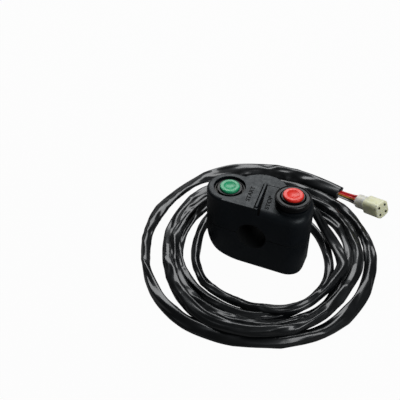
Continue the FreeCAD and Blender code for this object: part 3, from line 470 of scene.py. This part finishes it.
def tube(name, rings):
    """A closed tube's mesh through rings of places, each ring with as many."""
    mesh = bmesh.new()
    rows = [[mesh.verts.new(spot) for spot in ring] for ring in rings]
    for first, second in zip(rows, rows[1:]):
        for index in range(len(first)):
            following = (index + 1) % len(first)
            mesh.faces.new((first[index], first[following], second[following], second[index]))
    mesh.faces.new(list(reversed(rows[0])))
    mesh.faces.new(rows[-1])
    bmesh.ops.recalc_face_normals(mesh, faces=mesh.faces)
    data = bpy.data.meshes.new(name)
    mesh.to_mesh(data)
    mesh.free()
    return data


def ramp(value, span):
    """Rises from 0 to 1 over a span."""
    return min(1.0, max(0.0, value / span))


def running_lengths(points):
    """How far along a line each of its points lies."""
    lengths = [0.0]
    for before, after in zip(points, points[1:]):
        lengths.append(lengths[-1] + (after - before).length)
    return lengths


def smooth_line(points, resolution):
    """The points along a NURBS spline whose control points are given in millimetres."""
    curve = bpy.data.curves.new("route", "CURVE")
    curve.dimensions = "3D"
    spline = curve.splines.new("NURBS")
    spline.points.add(len(points) - 1)
    for point, (x, y, z) in zip(spline.points, points):
        point.co = (x * MM, y * MM, z * MM, 1.0)
    spline.order_u = 3
    spline.use_endpoint_u = True
    spline.resolution_u = resolution
    mesh = mesh_from("route", curve)
    line = [vertex.co.copy() for vertex in mesh.vertices]
    bpy.data.meshes.remove(mesh)
    return line


def evenly(line, step):
    """The same line with its points an even distance apart."""
    lengths = running_lengths(line)
    count = round(lengths[-1] / step)
    result = []
    place = 0
    for index in range(count + 1):
        wanted = lengths[-1] * index / count
        while place < len(line) - 2 and lengths[place + 1] < wanted:
            place += 1
        span = lengths[place + 1] - lengths[place]
        result.append(line[place].lerp(line[place + 1], min(1.0, (wanted - lengths[place]) / span)))
    return result


def sweep(name, line, section_at, material, lowest=None):
    """A smooth closed tube through the line's points, with the section that section_at gives for each."""
    rings = []
    side = UPWARDS.cross(line[1] - line[0]).normalized()
    for index, point in enumerate(line):
        before = line[max(index - 1, 0)]
        after = line[min(index + 1, len(line) - 1)]
        ahead = (after - before).normalized()
        side = (side - ahead * side.dot(ahead)).normalized()
        level = UPWARDS.cross(ahead)
        if level.length > LEVELLING:
            side = side.lerp(level.normalized(), LEVELLING).normalized()
        up = ahead.cross(side)
        section, twist = section_at(index)
        cosine = math.cos(twist)
        sine = math.sin(twist)
        ring = []
        for x, z in section:
            across = x * cosine - z * sine
            above = x * sine + z * cosine
            spot = point + side * (across * MM) + up * (above * MM)
            if lowest is not None:
                spot.z = max(spot.z, lowest * MM)
            ring.append(spot)
        rings.append(ring)
    data = tube(name, rings)
    for face in data.polygons:
        face.use_smooth = True
    return link(data, name, material)


# Harness

def turn_points():
    """The loose turns, worked out from their radii and heights."""
    points = []
    x, y = MIDDLE
    for radii, heights in zip(TURN_RADII, TURN_HEIGHTS):
        for index, (radius, height) in enumerate(zip(radii, heights)):
            angle = math.radians(index * 360.0 / STATIONS)
            points.append((x + radius * math.cos(angle), y - radius * math.sin(angle), height))
    return points


def crease(angle, run, folds):
    """Smooth noise folded at zero: soft bulges that meet in sharp lines."""
    number, length, seed = folds
    spot = Vector((number * math.cos(angle) + seed, number * math.sin(angle) - seed, run / length))
    return 1.0 - CREASE_DEPTH * abs(noise.noise(spot)) - CREASE_MIDDLE


def sleeve_section(run, width, calm, opening):
    """The sleeve's outline at one place and its twist there."""
    half_height = HALF_HEIGHT - HEIGHT_LOSS * (width - HEIGHT_WIDTH) + OPEN_RISE * opening
    crumple = CRUMPLE_GROWTH * noise.noise(Vector((run / CRUMPLE_LENGTH, *CRUMPLE_SPOT)))
    crumple = min(CRUMPLE_LIMIT, max(0.0, crumple))
    section = []
    for index in range(SLEEVE_SIDES):
        angle = 2.0 * math.pi * index / SLEEVE_SIDES
        side = math.cos(angle)
        rise = math.sin(angle)
        large = crease(angle + run / FOLD_SPIRAL, run, LARGE_FOLDS)
        pleat = crease(angle, run, PLEATS)
        small = crease(angle, run, SMALL_FOLDS)
        fold = calm * (LARGE_DEPTH * large + PLEAT_DEPTH * pleat + crumple * small)
        power = abs(rise) ** (BLUNTNESS - FLATTENING * max(0.0, width - FLAT_WIDTH))
        section.append((side * (width + FOLD_ACROSS * fold), rise * power * (half_height + FOLD_UP * fold)))
    return section, TWIST * calm * noise.noise(Vector((run / TWIST_LENGTH, *TWIST_SPOT)))


def build_harness(material):
    route = LEAD + turn_points() + TAIL
    smooth_route = smooth_line(route, ROUTE_RESOLUTION)
    line = evenly(smooth_route, SLEEVE_STEP * MM)
    length = running_lengths(smooth_route)[-1]
    total = length / MM
    step = total / (len(line) - 1)
    marks = running_lengths([Vector(point) for point in route])
    turn_widths = [width for row in TURN_WIDTHS for width in row]
    widths = [LEAD_WIDTH] * len(LEAD) + turn_widths + [TAIL_WIDTH] * len(TAIL)

    def width_at(run):
        place = run / total * marks[-1]
        index = 0
        while index < len(marks) - 2 and marks[index + 1] < place:
            index += 1
        share = ramp(place - marks[index], marks[index + 1] - marks[index])
        share = share * share * (3.0 - 2.0 * share)
        return widths[index] * (1.0 - share) + widths[index + 1] * share

    def section_at(index):
        run = index * step
        calm = min(1.0, CALM_LEAST + (total - run) / CALM_END) * min(1.0, run / CALM_START)
        opening = max(0.0, 1.0 - (total - run) / OPEN_END)
        ahead = (line[min(index + 1, len(line) - 1)] - line[max(index - 1, 0)]).normalized()
        tail = ramp(TAIL_LENGTH - total + run, BLEND)
        width = width_at(run) * (1.0 - NARROWING * abs(ahead.x) * (1.0 - tail))
        section, twist = sleeve_section(run, width, calm, opening)
        lean = FACING_LEAN * ahead.x - LEFT_LEAN * max(0.0, ahead.y)
        return section, twist + math.radians(lean) * ramp(run - LEAN_START, BLEND)

    sleeve = sweep("harness_sleeve", line, section_at, material, FLOOR + FLOOR_GAP)
    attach(sleeve, "housing")
    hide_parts("harness_lead", "harness_coil", "harness_tail")
    return sleeve, line, length


# Wires between the sleeve and the connector

def connector_point(away, y, z):
    """A place near the connector: away from its rear face along its axis, then sideways and up."""
    roll, dip, heading = [math.radians(value) for value in CONNECTOR_TURN]
    ahead = Vector((math.cos(heading) * math.cos(dip), math.sin(heading) * math.cos(dip), -math.sin(dip)))
    side = Vector((-math.sin(heading), math.cos(heading), 0.0))
    up = ahead.cross(side)
    across = side * math.cos(roll) + up * math.sin(roll)
    above = up * math.cos(roll) - side * math.sin(roll)
    return Vector(CONNECTOR_REAR) + ahead * away + across * y + above * z


def build_wire(name, y, z, start_offset, bow, stripe_angle, material):
    """One insulated wire, from inside the sleeve's end into the connector's rear at y and z."""
    aside, above = start_offset
    start = Vector(TAIL[-1]) + Vector((-0.9, 0.26, 0.0)) * WIRE_REACH + Vector((0.28, 0.96, 0.0)) * aside
    start.z = TAIL[-1][2] + above
    first = start + Vector((0.95, -0.3, 0.02)) * WIRE_REACH
    middle = connector_point(-7.5, 0.6 * y, 0.6 * z) + Vector(bow)
    points = [start, first, middle, connector_point(-2.2, y, z), connector_point(1.0, y, z)]
    line = evenly(smooth_line([tuple(point) for point in points], WIRE_RESOLUTION), WIRE_STEP * MM)
    angles = [2.0 * math.pi * index / WIRE_SIDES for index in range(WIRE_SIDES)]
    section = [(WIRE_RADIUS * math.cos(angle), WIRE_RADIUS * math.sin(angle)) for angle in angles]
    wire = sweep(name + "_insulation", line, lambda index: (section, 0.0), material)
    marks = wire.data.attributes.new("stripe", "FLOAT", "POINT")
    for index, mark in enumerate(marks.data):
        near = math.cos(angles[index % WIRE_SIDES] - stripe_angle)
        mark.value = 1.0 if near > STRIPE_EDGE else 0.0
    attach(wire, "housing")
    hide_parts(name)
    return wire


def build_wires():
    wires = []
    for name, (side, level, start_offset, bow, stripe_angle, base, stripe) in WIRES.items():
        finish = striped(name + "_finish", base, stripe)
        wires.append(build_wire(name, side * WIRE_SPREAD, level * WIRE_SPREAD, start_offset, bow,
                                math.radians(stripe_angle), finish))
    return wires


# Springs

def compress_springs():
    """Gives each spring a mesh of its own; the joints and the held ends listed with them are not used."""
    held_ends = (("start_spring", "start_button_press", 0), ("stop_spring", "stop_button_press", 0),
                 ("collar_spring", "tether_collar_lift", 1))
    for name, joint, held in held_ends:
        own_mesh(NODES[name])


# Letters on the panels

def add_word(name, text, place, material):
    """A word in low relief, read along the divider from the front towards the back."""
    curve = bpy.data.curves.new(name, "FONT")
    curve.body = text
    curve.size = WORD_SIZE * MM
    curve.align_x = "CENTER"
    curve.align_y = "CENTER"
    curve.extrude = WORD_RELIEF * MM
    curve.resolution_u = 3
    mesh = mesh_from(name, curve)
    word = link(mesh, name, material)
    x, y, z, slope, stretch = place
    mesh.transform(Matrix.Diagonal((stretch, 1.0, 1.0, 1.0)))
    tilt = Matrix.Rotation(math.radians(slope), 4, "X")
    turn = Matrix.Rotation(math.radians(90.0 + DIVIDER_ANGLE), 4, "Z")
    mesh.transform(Matrix.Translation(Vector((x, y, z)) * MM) @ tilt @ turn)
    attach(word, "housing")


# The dark strip of painted shade along the divider

def panel_spot(across, along):
    """The place on the housing's top that is across from the divider's right face and along it."""
    angle = math.radians(DIVIDER_ANGLE)
    x = DIVIDER_FACE_X + across * math.cos(angle) - along * math.sin(angle)
    y = across * math.sin(angle) + along * math.cos(angle)
    return NODES["upper_housing"].ray_cast(Vector((x, y, 60.0)) * MM, -UPWARDS)[1]


def build_divider_shade_strip(material):
    """A thin dark strip of painted shade on the stop panel, wider towards the front, which runs on over the
    rounded edge.
    """
    front, back = DIVIDER_SHADE_ENDS
    narrow, wide = DIVIDER_SHADE_WIDTHS
    rise = UPWARDS * (DIVIDER_SHADE_RISE * MM)
    rings = []
    for index in range(DIVIDER_SHADE_STEPS + 1):
        share = index / DIVIDER_SHADE_STEPS
        along = back + (front - back) * share
        left = panel_spot(DIVIDER_SHADE_START, along)
        right = panel_spot(narrow + (wide - narrow) * share, along)
        rings.append([left + rise, right + rise, right - rise, left - rise])
    shade_strip = link(tube("divider_shade_strip", rings), "divider_shade_strip", material)
    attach(shade_strip, "housing")


# Finishes

def dress_nodes():
    housing = moulded("housing_plastic", (0.0024, 0.0040, 0.0060), (0.0038, 0.0056, 0.0082), 0.45, 2600.0,
                      0.00008, shine=0.3, tint=(0.88, 0.96, 1.0))
    matt_with_painted_shade_in_hollows(housing)
    gloss = moulded("collar_plastic", (0.004, 0.0044, 0.005), (0.007, 0.0074, 0.008), 0.3, 1500.0, 0.00003,
                    shine=0.15, tint=(0.95, 0.98, 1.0))
    paint_shade_in_collar_grooves(gloss)
    green = moulded("green_plastic", (0.018, 0.34, 0.15), (0.027, 0.38, 0.175), 0.28, 1400.0, 0.00003,
                    shine=0.3)
    red = moulded("red_plastic", (0.84, 0.03, 0.018), (0.9, 0.04, 0.024), 0.36, 1400.0, 0.00003, shine=0.35)
    rubber = moulded("rubber", (0.012, 0.012, 0.012), (0.02, 0.02, 0.02), 0.62, 1800.0, 0.00006)
    base = moulded("base_plastic", (0.42, 0.36, 0.26), (0.5, 0.44, 0.34), 0.5, 1500.0, 0.00004)
    lead_red = moulded("lead_red", (0.5, 0.02, 0.02), (0.58, 0.03, 0.03), 0.36, 1500.0, 0.00003)
    lead_black = moulded("lead_black", (0.012, 0.012, 0.013), (0.02, 0.02, 0.02), 0.36, 1500.0, 0.00003)
    steel = metal("steel", (0.45, 0.45, 0.46), (0.62, 0.62, 0.64), 0.32)
    brass = metal("brass", (0.62, 0.46, 0.2), (0.8, 0.62, 0.32), 0.28)
    # The terminals' tin is darkened near black as painted shade, where they sit deep in the pin holes.
    tin_in_painted_shade = metal("tin_in_painted_shade", (0.08, 0.08, 0.08), (0.13, 0.13, 0.13), 0.4)
    pale = nylon("natural_nylon", (0.93, 0.95, 0.57), (0.97, 0.98, 0.65))
    paint_shade_in_pin_holes(pale)
    white = nylon("white_nylon", (0.86, 0.84, 0.68), (0.94, 0.92, 0.78))
    dress(housing, "upper_housing", "lower_housing")
    dress(gloss, "start_guide", "tether_collar", "stop_guide")
    dress(green, "start_button")
    dress(red, "stop_button")
    dress(rubber, "start_seal", "cable_grommet")
    dress(base, "start_switch_base", "stop_switch_base")
    dress(lead_red, "start_leads")
    dress(lead_black, "stop_leads")
    dress(steel, "clamp_screws", "base_screws", "start_spring", "stop_spring", "collar_spring")
    dress(brass, "screw_inserts", "start_contact_bridge", "start_fixed_contacts", "stop_contact_bridge",
          "stop_fixed_contacts")
    dress(tin_in_painted_shade, "connector_terminals")
    dress(pale, "connector_housing")
    dress(white, "connector_retainer")


def build_details():
    """The words, and the strip of painted shade along the divider, share one dull black."""
    dull = moulded("letter_and_painted_shade_plastic", (0.002, 0.002, 0.002), (0.003, 0.003, 0.003), 0.6, 2600.0, 0.00005,
                   shine=0.05)
    add_word("start_word", "START", START_WORD, dull)
    add_word("stop_word", "STOP", STOP_WORD, dull)
    build_divider_shade_strip(dull)


# Stage

def build_floor():
    """A grey floor that the camera alone sees as white, with the object's shadow on it."""
    material = new_material("floor")
    tree = material.node_tree
    shader = tree.nodes["Principled BSDF"]
    shader.inputs["Base Color"].default_value = FLOOR_COLOUR
    shader.inputs["Roughness"].default_value = MATT
    light = tree.nodes.new("ShaderNodeLightPath")
    white = tree.nodes.new("ShaderNodeEmission")
    white.inputs["Color"].default_value = (1, 1, 1, 1)
    choose = tree.nodes.new("ShaderNodeMixShader")
    share = mapped(tree, light.outputs["Is Camera Ray"], 0.0, 1.0, 0.0, FLOOR_WHITE)
    tree.links.new(share, choose.inputs["Fac"])
    tree.links.new(shader.outputs["BSDF"], choose.inputs[1])
    tree.links.new(white.outputs["Emission"], choose.inputs[2])
    tree.links.new(choose.outputs["Shader"], tree.nodes["Material Output"].inputs["Surface"])
    mesh = bpy.data.meshes.new("floor")
    corners = []
    for x, y in ((-1, -1), (1, -1), (1, 1), (-1, 1)):
        corners.append((x * FLOOR_REACH * MM, y * FLOOR_REACH * MM, FLOOR * MM))
    mesh.from_pydata(corners, [], [(0, 1, 2, 3)])
    link(mesh, "floor", material)


def build_world():
    world = bpy.data.worlds.new("world")
    bpy.context.scene.world = world
    world.use_nodes = True
    tree = world.node_tree
    ground = tree.nodes["Background"]
    ground.inputs["Color"].default_value = (1, 1, 1, 1)
    light = tree.nodes.new("ShaderNodeLightPath")
    seen = combined(tree, "MAXIMUM", light.outputs["Is Camera Ray"], light.outputs["Is Transmission Ray"])
    tree.links.new(mapped(tree, seen, 0.0, 1.0, WORLD_LIGHT, 1.0), ground.inputs["Strength"])


def build_lamps():
    """Each lamp is a rectangle that faces the origin."""
    for name, (place, size, power) in LAMPS.items():
        lamp = bpy.data.lights.new(name, "AREA")
        lamp.shape = "RECTANGLE"
        lamp.size = size[0]
        lamp.size_y = size[1]
        lamp.energy = power
        holder = bpy.data.objects.new(name, lamp)
        bpy.context.scene.collection.objects.link(holder)
        holder.location = place
        holder.rotation_mode = "QUATERNION"
        holder.rotation_quaternion = (-Vector(place)).to_track_quat("-Z", "Y")


def build_camera():
    data = bpy.data.cameras.new("camera")
    data.sensor_width = 36.0
    data.lens = CAMERA_LENS
    data.clip_start = 0.01
    data.clip_end = 10.0
    camera = bpy.data.objects.new("camera", data)
    bpy.context.scene.collection.objects.link(camera)
    turn = Matrix((CAMERA_RIGHT, CAMERA_UP, -Vector(CAMERA_AHEAD))).transposed().to_4x4()
    camera.matrix_world = Matrix.Translation(Vector(CAMERA_PLACE) * MM) @ turn
    bpy.context.scene.camera = camera


build_world()
build_floor()
build_lamps()
build_camera()
dress_nodes()
build_details()
compress_springs()
sleeve, sleeve_line, sleeve_length = build_harness(sleeve_material())
connector_pieces = [NODES["connector_" + part] for part in ("housing", "retainer", "terminals")]
connector_pieces.extend(build_wires())

bpy.context.scene.view_settings.view_transform = "Standard"
